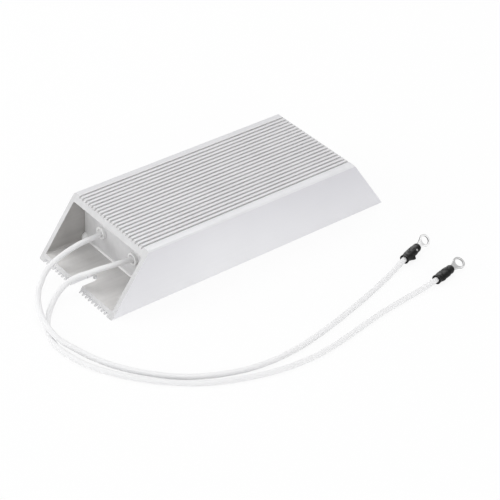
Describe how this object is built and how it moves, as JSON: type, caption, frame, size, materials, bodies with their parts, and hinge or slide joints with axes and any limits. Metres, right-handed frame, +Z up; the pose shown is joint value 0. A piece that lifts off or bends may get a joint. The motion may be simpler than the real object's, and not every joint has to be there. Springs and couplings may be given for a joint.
{
  "type": "aluminium housed power resistor",
  "caption": "Ribbed trapezoid aluminium shell with slanted open ends, end plates with ceramic bushings and flexible leads ending in sleeved ring terminals.",
  "frame": {"origin": "middle of the ribbed mounting face, on the rib tips", "axes": "+X along the body away from the lead end, +Y across it, +Z up out of the mounting face"},
  "size_m": [0.1971, 0.1361, 0.03],
  "materials": {
    "shell": "fine blasted, clear anodised extrusion",
    "end_plate": "dull cut sheet",
    "sealant": "white silicone bead",
    "bushing_ceramic": "unglazed white",
    "core_ceramic": "unglazed cream",
    "ribbon": "oxidised resistance alloy",
    "cap_steel": "plated steel",
    "splice_copper": "bare copper",
    "mica": "bonded mica sheet",
    "packing_quartz": "bonded quartz",
    "lead_braid": "white glass fibre braid",
    "sleeve_black": "soft black vinyl",
    "terminal_tin": "bright tinned copper"
  },
  "bodies": {
    "root": {"housing": "shell", "lead_end_plate": "end_plate", "blank_end_plate": "end_plate", "lead_end_sealant": "sealant", "blank_end_sealant": "sealant", "bushing_a": "bushing_ceramic", "bushing_b": "bushing_ceramic", "core_a": "core_ceramic", "core_b": "core_ceramic", "winding_a": "ribbon", "winding_b": "ribbon", "lead_end_cap_a": "cap_steel", "lead_end_cap_b": "cap_steel", "far_end_cap_a": "cap_steel", "far_end_cap_b": "cap_steel", "link_strap": "cap_steel", "splice_a": "splice_copper", "splice_b": "splice_copper", "lower_mica": "mica", "upper_mica": "mica", "packing": "packing_quartz", "lead_a": "lead_braid", "lead_b": "lead_braid", "terminal_sleeve_a": "sleeve_black", "terminal_sleeve_b": "sleeve_black", "ring_terminal_a": "terminal_tin", "ring_terminal_b": "terminal_tin"}
  },
  "joints": []
}
